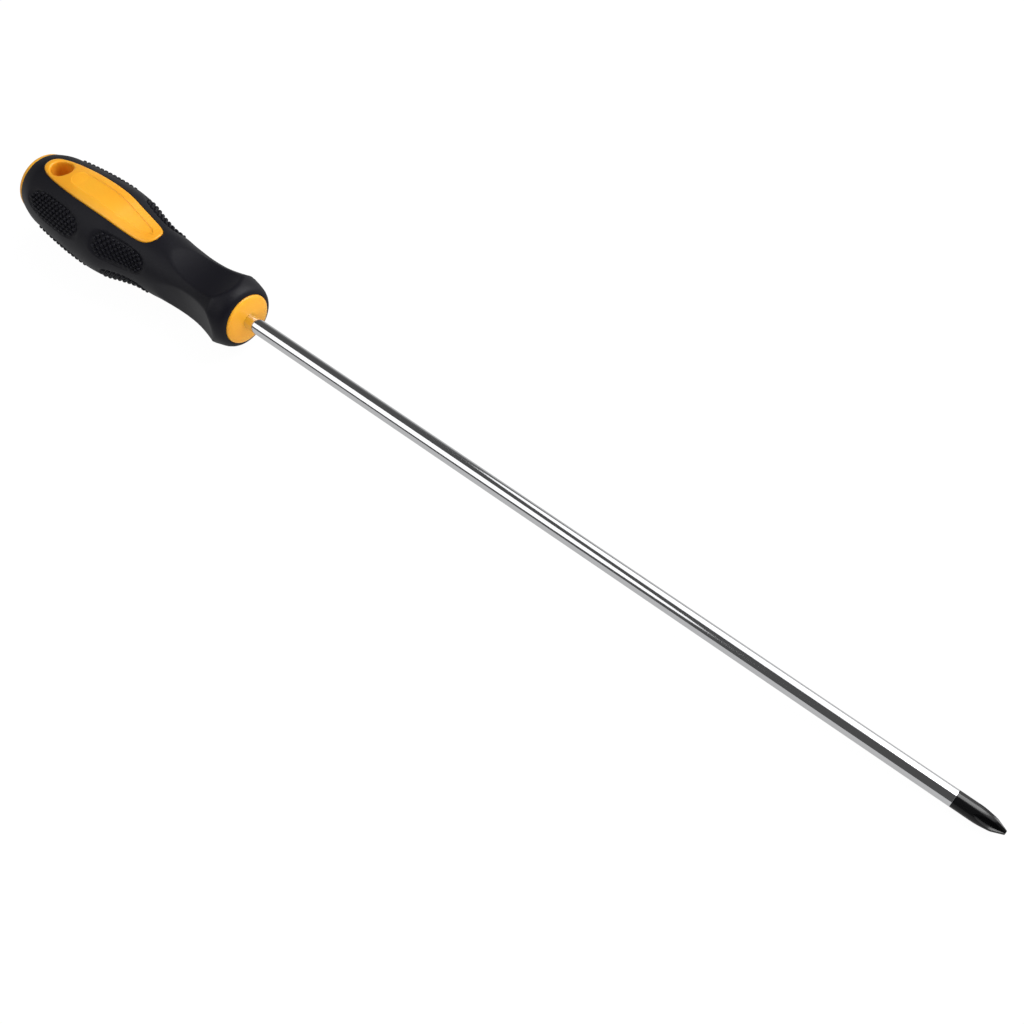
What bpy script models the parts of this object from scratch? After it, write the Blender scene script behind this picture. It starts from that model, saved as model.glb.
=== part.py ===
"""Long Phillips screwdriver with a moulded three-shot handle, lying on a flat surface.

Every piece is modelled in the tool's own frame: X runs along the blade towards its tip, Z points
out of the upper window of the grip, and station 0 is where the nose leaves the grip. At the end
the whole tool is laid down: it is tipped until the belly and the blade's tip touch the floor, and
the middle of its underside is brought to the world's origin.
"""
import math

import bmesh
import bpy
from mathutils import Matrix, Vector

MM = 0.001
GAP = 0.3 * MM                      # air kept between pieces that touch on the real tool
MERGE = 0.00001                     # merge distance of the turned shapes
TURN_STEPS = 48                     # facets round a turned shape

# Blade: a round bar with a Phillips point and a forged tang
BAR_RADIUS = 3.0 * MM
TIP_STATION = 320.7 * MM            # end of the point
POINT_OUTLINE = (                   # distance back from the end, and radius
    (0.0 * MM, 0.75 * MM), (3.8 * MM, 2.36 * MM), (6.4 * MM, 2.78 * MM), (9.5 * MM, 3.0 * MM),
)
TIP_WING_HALF = 0.5 * MM            # half the thickness of a point wing
TIP_WING_LENGTH = 3.0 * MM          # stretch over which the wings keep their thickness
FLUTE_LENGTH = 11.0 * MM            # from the tip's end back to where the flutes run out
TANG_STATION = -84.0 * MM           # rear end of the bar, inside the handle
TANG_WING_WIDTH = 9.0 * MM
TANG_WING_THICKNESS = 2.0 * MM
TANG_WING_LENGTH = 10.0 * MM
TANG_WING_STATIONS = (-55.0 * MM, -31.0 * MM)

# Tang core: the hard first shot that grips the tang
CORE_FLATS = 11.0 * MM              # across the flats of its hexagon
CORE_REAR = -90.0 * MM
CORE_FRONT = -4.0 * MM
COLLAR_RADIUS = 8.5 * MM
COLLAR_STATION = -67.0 * MM
COLLAR_LENGTH = 6.0 * MM

# Grip sleeve: the soft outer shot, as stations and radii in millimetres, front to rear
GRIP_OUTLINE = (
    (-0.3, 11.1), (-0.9, 11.9), (-3.0, 13.2), (-5.5, 13.9), (-8.2, 14.5), (-9.8, 14.1),
    (-14.0, 13.1), (-18.5, 12.3), (-27.3, 11.82), (-35.5, 12.15), (-43.0, 12.85),
    (-51.0, 13.5), (-57.0, 14.65), (-63.0, 16.15), (-67.0, 17.3), (-70.9, 18.0),
    (-76.8, 18.45), (-83.7, 18.4), (-90.8, 18.05), (-98.1, 17.35), (-105.2, 16.4),
    (-111.0, 15.4), (-114.8, 14.2), (-117.4, 13.1),
)
GRIP_WALL = 2.2 * MM
NOSE_RADIUS = 10.3 * MM
NOSE_PROUD = 1.0 * MM
NOSE_ROUND = 0.8 * MM
NECK_CORE_RADIUS = 8.0 * MM         # the hard body inside the fluted neck

# Neck flutes: four scoops, each cut by a large cylinder lying across the handle
SCOOP_RADIUS = 44.3 * MM
SCOOP_STATION = -23.1 * MM
SCOOP_FLOOR = 9.65 * MM             # the scoop's floor at its deepest, from the axis
SCOOP_WIDTH = 30.0 * MM

# Windows: the two long openings of the sleeve that the hard body fills
WINDOW_WIDEST = -73.9 * MM
WINDOW_REAR = -111.4 * MM
WINDOW_FRONT = -46.5 * MM
WINDOW_HALF_ANGLE = math.radians(25.7)
WINDOW_PROUD = 0.2 * MM
WINDOW_POINTS = 12                  # outline steps on each quarter

# Label recess in each window, and the hanging hole through both
LABEL_REAR = -94.6 * MM
LABEL_FRONT = -48.8 * MM
LABEL_MARGIN = 3.8 * MM             # from the window's edge to the recess's edge
LABEL_DEPTH = 0.45 * MM
HOLE_STATION = -102.6 * MM
HOLE_LENGTH = 10.6 * MM
HOLE_WIDTH = 8.6 * MM

# End cap: the hard plug that closes the butt
BODY_REAR = -117.4 * MM
BODY_REAR_RADIUS = 11.2 * MM
CAP_RADIUS = 12.9 * MM
CAP_EDGE = -118.1 * MM              # where the cap's side turns into its dome
CAP_END = -122.7 * MM
SPIGOT_RADIUS = 6.0 * MM
SPIGOT_END = -111.2 * MM

CUT_REACH = 30.0 * MM               # how far cutters reach past the axis
ALONG_X = Matrix.Rotation(math.pi / 2, 4, "Y")

YELLOW = (0.98, 0.42, 0.028, 1.0)
CORE_GREY = (0.10, 0.10, 0.11, 1.0)
SOFT_BLACK = (0.018, 0.018, 0.021, 1.0)
CHROME = (0.72, 0.72, 0.74, 1.0)


def clear_scene():
    """Removes every object that the file opened with."""
    for item in list(bpy.data.objects):
        bpy.data.objects.remove(item, do_unlink=True)


def new_collection(name):
    """A collection linked to the scene."""
    collection = bpy.data.collections.new(name)
    bpy.context.scene.collection.children.link(collection)
    return collection


def new_material(name, color, roughness, metallic=0.0):
    """A plain finish."""
    material = bpy.data.materials.new(name)
    material.use_nodes = True
    shader = material.node_tree.nodes["Principled BSDF"]
    shader.inputs["Base Color"].default_value = color
    shader.inputs["Roughness"].default_value = roughness
    shader.inputs["Metallic"].default_value = metallic
    return material


def add_object(name, data, collection, parent):
    """Links new object data under the tool's empty."""
    item = bpy.data.objects.new(name, data)
    collection.objects.link(item)
    item.parent = parent
    return item


def hide_guide(item):
    """Marks a cutter or guide, which is no part of the tool."""
    item.hide_render = True
    item.display_type = "WIRE"


def turned(name, outline, collection, parent, closed=False):
    """A turned shape along X from (station, radius) points given front to rear on the outside."""
    mesh = bpy.data.meshes.new(name)
    count = len(outline)
    edges = [(index, index + 1) for index in range(count - 1)]
    if closed:
        edges.append((count - 1, 0))
    mesh.from_pydata([(radius, 0.0, station) for station, radius in outline], edges, [])
    item = add_object(name, mesh, collection, parent)
    item.rotation_euler = (0.0, math.pi / 2.0, 0.0)
    screw = item.modifiers.new("turn", "SCREW")
    screw.steps = TURN_STEPS
    screw.render_steps = TURN_STEPS
    screw.use_merge_vertices = True
    screw.merge_threshold = MERGE
    return item


def prism(name, outline, half_height, turn, collection, parent):
    """A flat outline made solid to half_height on both sides of its plane, then turned."""
    curve = bpy.data.curves.new(name, "CURVE")
    curve.dimensions = "2D"
    curve.fill_mode = "BOTH"
    curve.extrude = half_height
    spline = curve.splines.new("POLY")
    spline.points.add(len(outline) - 1)
    for point, (x, y) in zip(spline.points, outline):
        point.co = (x, y, 0.0, 1.0)
    spline.use_cyclic_u = True
    flat = bpy.data.objects.new(name + "_outline", curve)
    collection.objects.link(flat)
    bpy.context.view_layer.update()
    evaluated = flat.evaluated_get(bpy.context.evaluated_depsgraph_get())
    mesh = bpy.data.meshes.new_from_object(evaluated)
    bpy.data.objects.remove(flat, do_unlink=True)
    work = bmesh.new()
    work.from_mesh(mesh)
    bmesh.ops.remove_doubles(work, verts=work.verts, dist=MERGE)
    bmesh.ops.recalc_face_normals(work, faces=work.faces)
    bmesh.ops.transform(work, matrix=turn, verts=work.verts)
    work.to_mesh(mesh)
    work.free()
    return add_object(name, mesh, collection, parent)


def cylinder(name, radius, length, matrix, segments, collection, parent):
    """A closed cylinder along its own Z, placed by a matrix."""
    mesh = bpy.data.meshes.new(name)
    work = bmesh.new()
    bmesh.ops.create_cone(work, cap_ends=True, segments=segments, radius1=radius,
                          radius2=radius, depth=length, matrix=matrix)
    work.to_mesh(mesh)
    work.free()
    return add_object(name, mesh, collection, parent)


def block(name, size, center, collection, parent):
    """A closed box of the given size about a point."""
    mesh = bpy.data.meshes.new(name)
    work = bmesh.new()
    matrix = Matrix.Translation(center) @ Matrix.Diagonal((*size, 1.0))
    bmesh.ops.create_cube(work, size=1.0, matrix=matrix)
    work.to_mesh(mesh)
    work.free()
    return add_object(name, mesh, collection, parent)


def combine(target, tool, operation):
    """Adds a Boolean between two objects and marks the tool as a guide."""
    boolean = target.modifiers.new(tool.name, "BOOLEAN")
    boolean.operation = operation
    boolean.solver = "EXACT"
    boolean.object = tool
    hide_guide(tool)


def smooth_between(points, station):
    """The radius at a station, on a smooth curve through (station, radius) points."""
    ordered = sorted(points)
    if station <= ordered[0][0]:
        return ordered[0][1]
    if station >= ordered[-1][0]:
        return ordered[-1][1]
    index = max(i for i, point in enumerate(ordered) if point[0] <= station)
    index = min(index, len(ordered) - 2)
    before = ordered[max(index - 1, 0)]
    here = ordered[index]
    after = ordered[index + 1]
    beyond = ordered[min(index + 2, len(ordered) - 1)]
    span = after[0] - here[0]
    t = (station - here[0]) / span
    slope_here = (after[1] - before[1]) / (after[0] - before[0]) * span
    slope_after = (beyond[1] - here[1]) / (beyond[0] - here[0]) * span
    return (here[1] * (2 * t ** 3 - 3 * t ** 2 + 1) + slope_here * (t ** 3 - 2 * t ** 2 + t)
            + after[1] * (3 * t ** 2 - 2 * t ** 3) + slope_after * (t ** 3 - t ** 2))


def grip_radius(station):
    """The grip's outer radius at a station, both in metres."""
    return smooth_between(GRIP_OUTLINE, station / MM) * MM


def window_half_width(station):
    """Half the width that a window takes in plan at a station."""
    if station < WINDOW_WIDEST:
        share = (WINDOW_WIDEST - station) / (WINDOW_WIDEST - WINDOW_REAR)
        squareness, bluntness = 2.5, 0.24
    else:
        share = (station - WINDOW_WIDEST) / (WINDOW_FRONT - WINDOW_WIDEST)
        squareness, bluntness = 8.0, 0.28
    angle = WINDOW_HALF_ANGLE * max(1.0 - min(share, 1.0) ** squareness, 0.0) ** bluntness
    return grip_radius(station) * math.sin(angle)


def window_outline(margin, rear, front):
    """A window's plan outline, drawn in by margin at its sides and cut off at rear and front."""
    stations = []
    for index in range(-WINDOW_POINTS, WINDOW_POINTS + 1):
        reach = (front if index > 0 else rear) - WINDOW_WIDEST
        along = abs(math.sin(0.5 * math.pi * index / WINDOW_POINTS))
        stations.append(WINDOW_WIDEST + reach * along)
    side = [(station, window_half_width(station) - margin) for station in stations]
    upper = [(x, y) for x, y in side if y > 0.0]
    outline = upper + [(x, -y) for x, y in reversed(upper)]
    if side[0][1] <= 0.0:
        outline.append((rear, 0.0))
    if side[-1][1] <= 0.0:
        outline.insert(len(upper), (front, 0.0))
    return outline


def blade_outline(grow=0.0):
    """The blade's turned outline, front to rear, grown all over by grow."""
    outline = [(TIP_STATION, 0.0)]
    outline += [(TIP_STATION - back, radius + grow) for back, radius in POINT_OUTLINE]
    outline += [
        (TANG_STATION + 0.5 * MM - grow, BAR_RADIUS + grow),
        (TANG_STATION - grow, BAR_RADIUS - 0.5 * MM + grow),
        (TANG_STATION - grow, 0.0),
    ]
    return outline


def tang_wings(prefix, grow, collection, parent):
    """The two forged wings of the tang, a quarter turn apart."""
    wings = []
    for index, station in enumerate(TANG_WING_STATIONS):
        length = TANG_WING_LENGTH + 2 * grow
        wide = TANG_WING_WIDTH + 2 * grow
        thin = TANG_WING_THICKNESS + 2 * grow
        size = (length, wide, thin) if index == 0 else (length, thin, wide)
        name = f"{prefix}_wing_{index}"
        wings.append(block(name, size, Vector((station, 0.0, 0.0)), collection, parent))
    return wings


def point_plate(name, turn, collection, parent):
    """The side view of one pair of point wings: thin at the tip, flaring to the whole bar."""
    wings_end = TIP_STATION - TIP_WING_LENGTH
    run_out = TIP_STATION - FLUTE_LENGTH
    side = [(TIP_STATION + MM, TIP_WING_HALF)]
    steps = 6
    for index in range(steps + 1):
        share = index / steps
        half = TIP_WING_HALF + (BAR_RADIUS * 1.08 - TIP_WING_HALF) * share ** 2
        side.append((wings_end + (run_out - wings_end) * share, half))
    side += [(run_out, TANG_WING_WIDTH), (TANG_STATION - MM, TANG_WING_WIDTH)]
    outline = side + [(x, -y) for x, y in reversed(side)]
    return prism(name, outline, TANG_WING_WIDTH, turn, collection, parent)


def make_blade(parts, guides, tool, steel):
    """One steel bar: Phillips point, round shank and forged tang."""
    blade = turned("blade", blade_outline(), parts, tool)
    upright = point_plate("point_plate_upright", Matrix.Identity(4), guides, tool)
    across = point_plate("point_plate_across", Matrix.Rotation(math.pi / 2, 4, "X"),
                         guides, tool)
    combine(upright, across, "UNION")
    combine(blade, upright, "INTERSECT")
    for wing in tang_wings("tang", 0.0, guides, tool):
        combine(blade, wing, "UNION")
    blade.data.materials.append(steel)
    return blade


def core_form(name, grow, collection, guides, parent):
    """The tang core's outer form, a hexagonal bar with a collar, grown all over by grow."""
    corner = (CORE_FLATS / 2 + grow) / math.cos(math.pi / 6)
    length = CORE_FRONT - CORE_REAR + 2 * grow
    middle = Matrix.Translation(((CORE_FRONT + CORE_REAR) / 2, 0.0, 0.0))
    core = cylinder(name, corner, length, middle @ ALONG_X, 6, collection, parent)
    collar_at = Matrix.Translation((COLLAR_STATION, 0.0, 0.0))
    collar = cylinder(name + "_collar", COLLAR_RADIUS + grow, COLLAR_LENGTH + 2 * grow,
                      collar_at @ ALONG_X, 24, guides, parent)
    combine(core, collar, "UNION")
    return core


def make_tang_core(parts, guides, tool, hard_grey):
    """The first shot, moulded round the tang and keyed to its wings."""
    core = core_form("tang_core", 0.0, parts, guides, tool)
    socket = turned("tang_socket", blade_outline(GAP), guides, tool)
    for wing in tang_wings("socket", GAP, guides, tool):
        combine(socket, wing, "UNION")
    combine(core, socket, "DIFFERENCE")
    core.data.materials.append(hard_grey)
    return core


def body_side():
    """The stretch of the hard body that the sleeve covers, front to rear."""
    side = [
        (-2.4 * MM, NOSE_RADIUS),
        (-7.0 * MM, NECK_CORE_RADIUS),
        (-36.0 * MM, NECK_CORE_RADIUS),
    ]
    for place in (-48.0, -56.0, -64.0, -70.0, -77.0, -85.0, -94.0, -103.0, -111.0):
        side.append((place * MM, grip_radius(place * MM) - GRIP_WALL))
    side.append((BODY_REAR, BODY_REAR_RADIUS))
    return side


def body_outline():
    """The hard body's turned outline: nose, slim neck, belly and rear face, front to rear."""
    nose = [
        (NOSE_PROUD, 0.0),
        (NOSE_PROUD, NOSE_RADIUS - NOSE_ROUND),
        (NOSE_PROUD - 0.3 * NOSE_ROUND, NOSE_RADIUS - 0.3 * NOSE_ROUND),
        (NOSE_PROUD - NOSE_ROUND, NOSE_RADIUS),
    ]
    return nose + body_side() + [(BODY_REAR, 0.0)]


def panel_outline():
    """The barrel that the window panels are cut from, front to rear."""
    barrel = [(-44.0 * MM, 0.0)]
    for place in (-44, -50, -56, -62, -67, -71, -77, -84, -91, -98, -105, -111, -114):
        barrel.append((place * MM, grip_radius(place * MM) + WINDOW_PROUD))
    barrel.append((-114.0 * MM, 0.0))
    return barrel


def make_label_cutter(side, guides, tool):
    """A slab with the label's outline whose floor follows the belly's line but is flat across."""
    top = 30.0 * MM
    steps = 10
    floor = []
    for index in range(steps + 1):
        station = LABEL_REAR + (LABEL_FRONT - LABEL_REAR) * index / steps
        half = window_half_width(station) - LABEL_MARGIN
        lip = math.sqrt((grip_radius(station) + WINDOW_PROUD) ** 2 - half ** 2)
        floor.append((station, lip - LABEL_DEPTH))
    rear_end = [(LABEL_REAR - MM, top), (LABEL_REAR - MM, floor[0][1])]
    front_end = [(LABEL_FRONT + MM, floor[-1][1]), (LABEL_FRONT + MM, top)]
    stand_up = Matrix.Rotation(side * math.pi / 2, 4, "X")
    name = "label_upper" if side > 0 else "label_lower"
    slab = prism(name, rear_end + floor + front_end, 12.0 * MM, stand_up, guides, tool)
    outline = window_outline(LABEL_MARGIN, LABEL_REAR, LABEL_FRONT)
    edge = prism(name + "_edge", outline, top, Matrix.Identity(4), guides, tool)
    combine(slab, edge, "INTERSECT")
    return slab


def ellipse(length, width, station, count):
    """Points of an ellipse in plan."""
    points = []
    for index in range(count):
        angle = 2 * math.pi * index / count
        points.append((station + length / 2 * math.cos(angle), width / 2 * math.sin(angle)))
    return points


def make_handle_body(parts, guides, tool, yellow):
    """The second shot: nose, hidden core of the neck and belly, and both window panels."""
    body = turned("handle_body", body_outline(), parts, tool)
    panels = turned("window_panels", panel_outline(), guides, tool)
    outline = window_outline(GAP, WINDOW_REAR + GAP, WINDOW_FRONT - GAP)
    windows = prism("window_prism", outline, CUT_REACH, Matrix.Identity(4), guides, tool)
    combine(panels, windows, "INTERSECT")
    combine(body, panels, "UNION")
    for side in (1, -1):
        combine(body, make_label_cutter(side, guides, tool), "DIFFERENCE")
    hole = prism("hang_hole", ellipse(HOLE_LENGTH, HOLE_WIDTH, HOLE_STATION, 28), CUT_REACH,
                 Matrix.Identity(4), guides, tool)
    combine(body, hole, "DIFFERENCE")
    pocket = core_form("core_pocket", GAP, guides, guides, tool)
    bore = cylinder("blade_bore", BAR_RADIUS + GAP, -2 * CORE_FRONT + 4 * MM, ALONG_X, 32,
                    guides, tool)
    combine(pocket, bore, "UNION")
    combine(body, pocket, "DIFFERENCE")
    depth = SPIGOT_END + GAP - BODY_REAR
    socket_at = Matrix.Translation((BODY_REAR, 0.0, 0.0)) @ ALONG_X
    socket = cylinder("cap_socket", SPIGOT_RADIUS + GAP, 2 * depth, socket_at, 32, guides, tool)
    combine(body, socket, "DIFFERENCE")
    body.data.materials.append(yellow)
    return body


def sleeve_outline():
    """The grip sleeve's closed section: down its outside, then up its inside."""
    outer = [(station * MM, radius * MM) for station, radius in GRIP_OUTLINE]
    inner = [(station, radius + GAP) for station, radius in reversed(body_side())]
    inner.append((outer[0][0], NOSE_RADIUS + GAP))
    return outer + inner


def make_grip_sleeve(parts, guides, tool, soft_black):
    """The third shot: the soft skin, open at the windows and scooped at the neck."""
    sleeve = turned("grip_sleeve", sleeve_outline(), parts, tool, closed=True)
    outline = window_outline(0.0, WINDOW_REAR, WINDOW_FRONT)
    opening = prism("window_opening", outline, CUT_REACH, Matrix.Identity(4), guides, tool)
    combine(sleeve, opening, "DIFFERENCE")
    for index in range(4):
        turn = Matrix.Rotation(index * math.pi / 2, 4, "X")
        place = Matrix.Translation((SCOOP_STATION, 0.0, SCOOP_FLOOR + SCOOP_RADIUS))
        lie_across = Matrix.Rotation(math.pi / 2, 4, "X")
        scoop = cylinder(f"neck_scoop_{index}", SCOOP_RADIUS, SCOOP_WIDTH,
                         turn @ place @ lie_across, 100, guides, tool)
        combine(sleeve, scoop, "DIFFERENCE")
    sleeve.data.materials.append(soft_black)
    return sleeve


def make_end_cap(parts, tool, yellow):
    """The domed plug at the butt, with the spigot that holds it in the body."""
    seat = BODY_REAR - GAP
    outline = [
        (SPIGOT_END, 0.0), (SPIGOT_END, SPIGOT_RADIUS - 0.6 * MM),
        (SPIGOT_END - 0.6 * MM, SPIGOT_RADIUS), (seat, SPIGOT_RADIUS),
        (seat, CAP_RADIUS), (CAP_EDGE, CAP_RADIUS),
    ]
    steps = 7
    for index in range(1, steps):
        angle = 0.5 * math.pi * index / steps
        station = CAP_EDGE + (CAP_END - CAP_EDGE) * math.sin(angle)
        outline.append((station, CAP_RADIUS * math.cos(angle)))
    outline.append((CAP_END, 0.0))
    cap = turned("end_cap", outline, parts, tool)
    cap.data.materials.append(yellow)
    return cap


def lay_down(tool, parts):
    """Tips the tool until belly and tip touch the floor, and centres its underside on the origin."""
    bpy.context.view_layer.update()
    graph = bpy.context.evaluated_depsgraph_get()
    points = []
    for item in parts:
        evaluated = item.evaluated_get(graph)
        points += [evaluated.matrix_world @ vertex.co for vertex in evaluated.data.vertices]
    handle = [point for point in points if point.x < 0.0]
    blade = [point for point in points if point.x > TIP_STATION / 2]
    tilt = 0.0
    for _ in range(12):
        turn = Matrix.Rotation(tilt, 3, "Y")
        low_handle = min(handle, key=lambda point: (turn @ point).z)
        low_blade = min(blade, key=lambda point: (turn @ point).z)
        drop = (turn @ low_blade).z - (turn @ low_handle).z
        tilt += drop / (low_blade.x - low_handle.x)
    turn = Matrix.Rotation(tilt, 3, "Y")
    laid = [turn @ point for point in points]
    middle = [0.5 * (min(p[k] for p in laid) + max(p[k] for p in laid)) for k in range(2)]
    tool.rotation_euler = (0.0, tilt, 0.0)
    tool.location = (-middle[0], -middle[1], -min(p.z for p in laid))


def main():
    clear_scene()
    parts = new_collection("screwdriver")
    guides = new_collection("guides")
    tool = bpy.data.objects.new("tool_frame", None)
    parts.objects.link(tool)
    steel = new_material("chrome_steel", CHROME, 0.15, 1.0)
    hard_grey = new_material("hard_grey_plastic", CORE_GREY, 0.5)
    yellow = new_material("yellow_plastic", YELLOW, 0.35)
    soft_black = new_material("soft_black_rubber", SOFT_BLACK, 0.6)
    make_blade(parts, guides, tool, steel)
    make_tang_core(parts, guides, tool, hard_grey)
    make_handle_body(parts, guides, tool, yellow)
    make_grip_sleeve(parts, guides, tool, soft_black)
    make_end_cap(parts, tool, yellow)
    lay_down(tool, [item for item in parts.objects if item.type == "MESH"])
    bpy.context.view_layer.update()


main()
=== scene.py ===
"""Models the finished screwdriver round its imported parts, and sets up its stage.

The pieces are modelled in millimetres in the tool's own frame: X runs along the blade towards its
tip, Z points out of the upper window, and station 0 is where the nose leaves the grip. Each
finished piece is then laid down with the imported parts, and its place is kept in its mesh.
"""
import math

import bmesh
import bpy
from mathutils import Matrix, Vector


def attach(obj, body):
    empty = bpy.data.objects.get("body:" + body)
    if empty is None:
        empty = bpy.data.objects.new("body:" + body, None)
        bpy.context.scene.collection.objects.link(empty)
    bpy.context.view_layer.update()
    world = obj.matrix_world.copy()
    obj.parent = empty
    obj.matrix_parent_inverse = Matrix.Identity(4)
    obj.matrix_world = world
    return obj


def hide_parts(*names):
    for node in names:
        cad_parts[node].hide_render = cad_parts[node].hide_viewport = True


bl_info = {
    "name": "Long cross-point screwdriver",
    "version": (1, 0, 0),
    "blender": (4, 5, 0),
    "location": "View3D > Sidebar > Screwdriver",
    "description": "Builds a long screwdriver with a dotted soft grip, piece by piece",
    "category": "Add Mesh",
}

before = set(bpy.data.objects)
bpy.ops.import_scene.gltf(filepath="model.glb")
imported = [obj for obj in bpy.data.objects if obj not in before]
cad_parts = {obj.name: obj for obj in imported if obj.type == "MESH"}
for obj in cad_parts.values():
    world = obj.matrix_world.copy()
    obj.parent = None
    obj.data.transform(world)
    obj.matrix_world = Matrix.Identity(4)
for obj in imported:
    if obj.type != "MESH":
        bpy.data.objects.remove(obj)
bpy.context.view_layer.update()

# Where the tool's own frame lies: the nose point in metres, and the tilt in radians that
# brings the tip to the floor
NOSE_POINT = (-0.098939, 0.0, 0.015130)
TILT = 0.038996
MM = 0.001

# Grip: stations and outer radii in millimetres, front to rear; the flange peaks in a corner
FLANGE_PEAK = -8.2
FLANGE_OUTLINE = (
    (-0.3, 11.1), (-0.9, 12.05), (-2.5, 13.05), (-5.3, 13.85), (-7.4, 14.42),
    (FLANGE_PEAK, 14.52),
)
GRIP_OUTLINE = (
    (FLANGE_PEAK, 14.52), (-9.1, 14.25), (-14.0, 13.1), (-18.5, 12.3), (-23.0, 11.95),
    (-27.3, 11.82), (-31.5, 11.9), (-35.5, 12.15), (-39.0, 12.4), (-43.0, 12.85), (-47.0, 13.15),
    (-51.0, 13.5), (-55.0, 14.2), (-59.0, 15.15), (-63.0, 16.15), (-67.0, 17.3),
    (-70.9, 18.0), (-76.8, 18.45), (-83.7, 18.4), (-90.8, 18.05), (-98.1, 17.35),
    (-105.2, 16.4), (-111.0, 15.4), (-114.8, 14.2), (-116.9, 13.35), (-117.4, 13.05),
)
SKIN_WALL = 1.9
SKIN_MOUTH = 10.45

# Hard body: its reach under the skin, the room for the core and its hexagon, and the bores
BODY_INSET = 2.2
BODY_REAR = -117.4
NECK_CORE = 8.0
CORE_ROOM = 6.75
CORE_REAR = -90.3
CORE_FRONT = -3.6
HEX_ROOM = 8.9
HEX_REAR = -70.6
HEX_FRONT = -63.4
BAR_BORE = 3.03
PLUG_BORE = 6.35
PLUG_FLOOR = -111.0

# Windows: a plan that keeps an angle of the barrel and is rounded off towards both ends
WINDOW_WIDEST = -73.9
WINDOW_REAR = -111.4
WINDOW_FRONT = -46.5
WINDOW_HALF_ANGLE = math.radians(25.7)
REAR_SQUARENESS, REAR_BLUNTNESS = 2.5, 0.24
FRONT_SQUARENESS, FRONT_BLUNTNESS = 8.0, 0.28
WINDOW_GAP = 0.2
WINDOW_REACH = 8.0
PANEL_PROUD = 0.25

# Label recess and hanging hole in a window panel
LABEL_REAR = -94.6
LABEL_FRONT = -48.8
LABEL_MARGIN = 3.8
LABEL_DEPTH = 0.33
LABEL_RAMP = 6.0
LABEL_SHALLOWEST = 0.12
HOLE_STATION = -102.6
HOLE_LENGTH = 10.6
HOLE_WIDTH = 8.6

# Dotted pads: middle station, half length and half angle, their shape, and the dots on them
REAR_PAD = (-93.3, 16.8, math.radians(19.5))
MIDDLE_PAD = (-57.7, 13.1, math.radians(22.0))
PAD_DEGREES = (60.0, 120.0, 240.0, 300.0)
PAD_SQUARENESS = 2.8
PADS_BEHIND = -42.0
DOTS_WITHIN = 0.88
DOT_ROOT = 0.15
DOT_LENGTH = 1.05
DOT_WIDTH_SHARE = 0.56
UNIT_DOT_HEIGHT = 1.1

# Blade: where it ends, how long its point and its even wings are, and where the black starts
TIP_END = 320.7
BAR_REAR = -84.0
POINT_LENGTH = 9.8
WINGS_LENGTH = 2.6
WING_FLARE = 2.3
BLACK_FROM = 303.65

# End cap: its plug, its seat on the body's end, and the dome
PLUG_RADIUS = 6.0
CAP_SEAT = -117.48
CAP_EDGE = -117.9
CAP_RADIUS = 12.95
CAP_DOME = 4.8

# Stage: what the floor and the room give off, how bright the floor looks, and the soft boxes,
# each with its place, target and size in metres, its power, and whether reflections show it
FLOOR_GLOW = 0.52
FLOOR_SEEN = 0.97
ROOM_GLOW = 0.085
ROOM_FAR_GLOW = 0.14
SOFTBOXES = {
    "front_box": ((-0.80, -0.86, 0.98), (-0.80, 0.0, 0.0), (1.36, 1.36), 5.9, True),
    "back_box": ((0.35, 0.93, 0.91), (0.35, 0.0, 0.0), (1.70, 2.30), 12.4, True),
    "point_box": ((0.30, 0.74, 1.07), (0.22, 0.0, 0.0), (0.36, 1.10), 8.0, True),
    "overhead": ((0.0, 0.0, 1.7), (0.0, 0.0, 0.0), (1.6, 1.6), 5.6, False),
    "end_fill": ((1.6, -0.5, 0.32), (-0.1, 0.0, 0.0), (1.2, 1.2), 23.0, False),
}
CAMERA_SPOT = (0.3042, -0.2222, 0.3773)
CAMERA_RIGHT = (0.76990, 0.63778, 0.02225)
CAMERA_UP = (-0.52516, 0.61337, 0.58992)
CAMERA_BACK = (0.36258, -0.46586, 0.80717)
CAMERA_LENS = 47.8


# --------------------------------------------------------------------------- sizes and colours

class GripSizes(bpy.types.PropertyGroup):
    """Sizes of the soft skin."""
    steps: bpy.props.IntProperty(
        name="Steps round", description="Facets round the skin", default=240, min=48)
    station_step: bpy.props.FloatProperty(
        name="Ring spacing", description="Distance between the skin's rings",
        default=0.9 * MM, precision=5, subtype="DISTANCE", unit="LENGTH")
    scoop_radius: bpy.props.FloatProperty(
        name="Scoop radius", description="Lengthwise radius of a neck scoop",
        default=44.3 * MM, precision=5, subtype="DISTANCE", unit="LENGTH")
    scoop_station: bpy.props.FloatProperty(
        name="Scoop station", description="Where a scoop is deepest",
        default=-23.1 * MM, precision=5, subtype="DISTANCE", unit="LENGTH")
    scoop_floor: bpy.props.FloatProperty(
        name="Scoop floor", description="A scoop's floor from the axis",
        default=9.65 * MM, precision=5, subtype="DISTANCE", unit="LENGTH")
    ridge_round: bpy.props.FloatProperty(
        name="Ridge rounding", description="How soft the scoops' edges are",
        default=0.45 * MM, precision=5, subtype="DISTANCE", unit="LENGTH")
    pad_depth: bpy.props.FloatProperty(
        name="Pad depth", description="How far the pads are sunk into the skin",
        default=0.6 * MM, precision=5, subtype="DISTANCE", unit="LENGTH")


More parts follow.
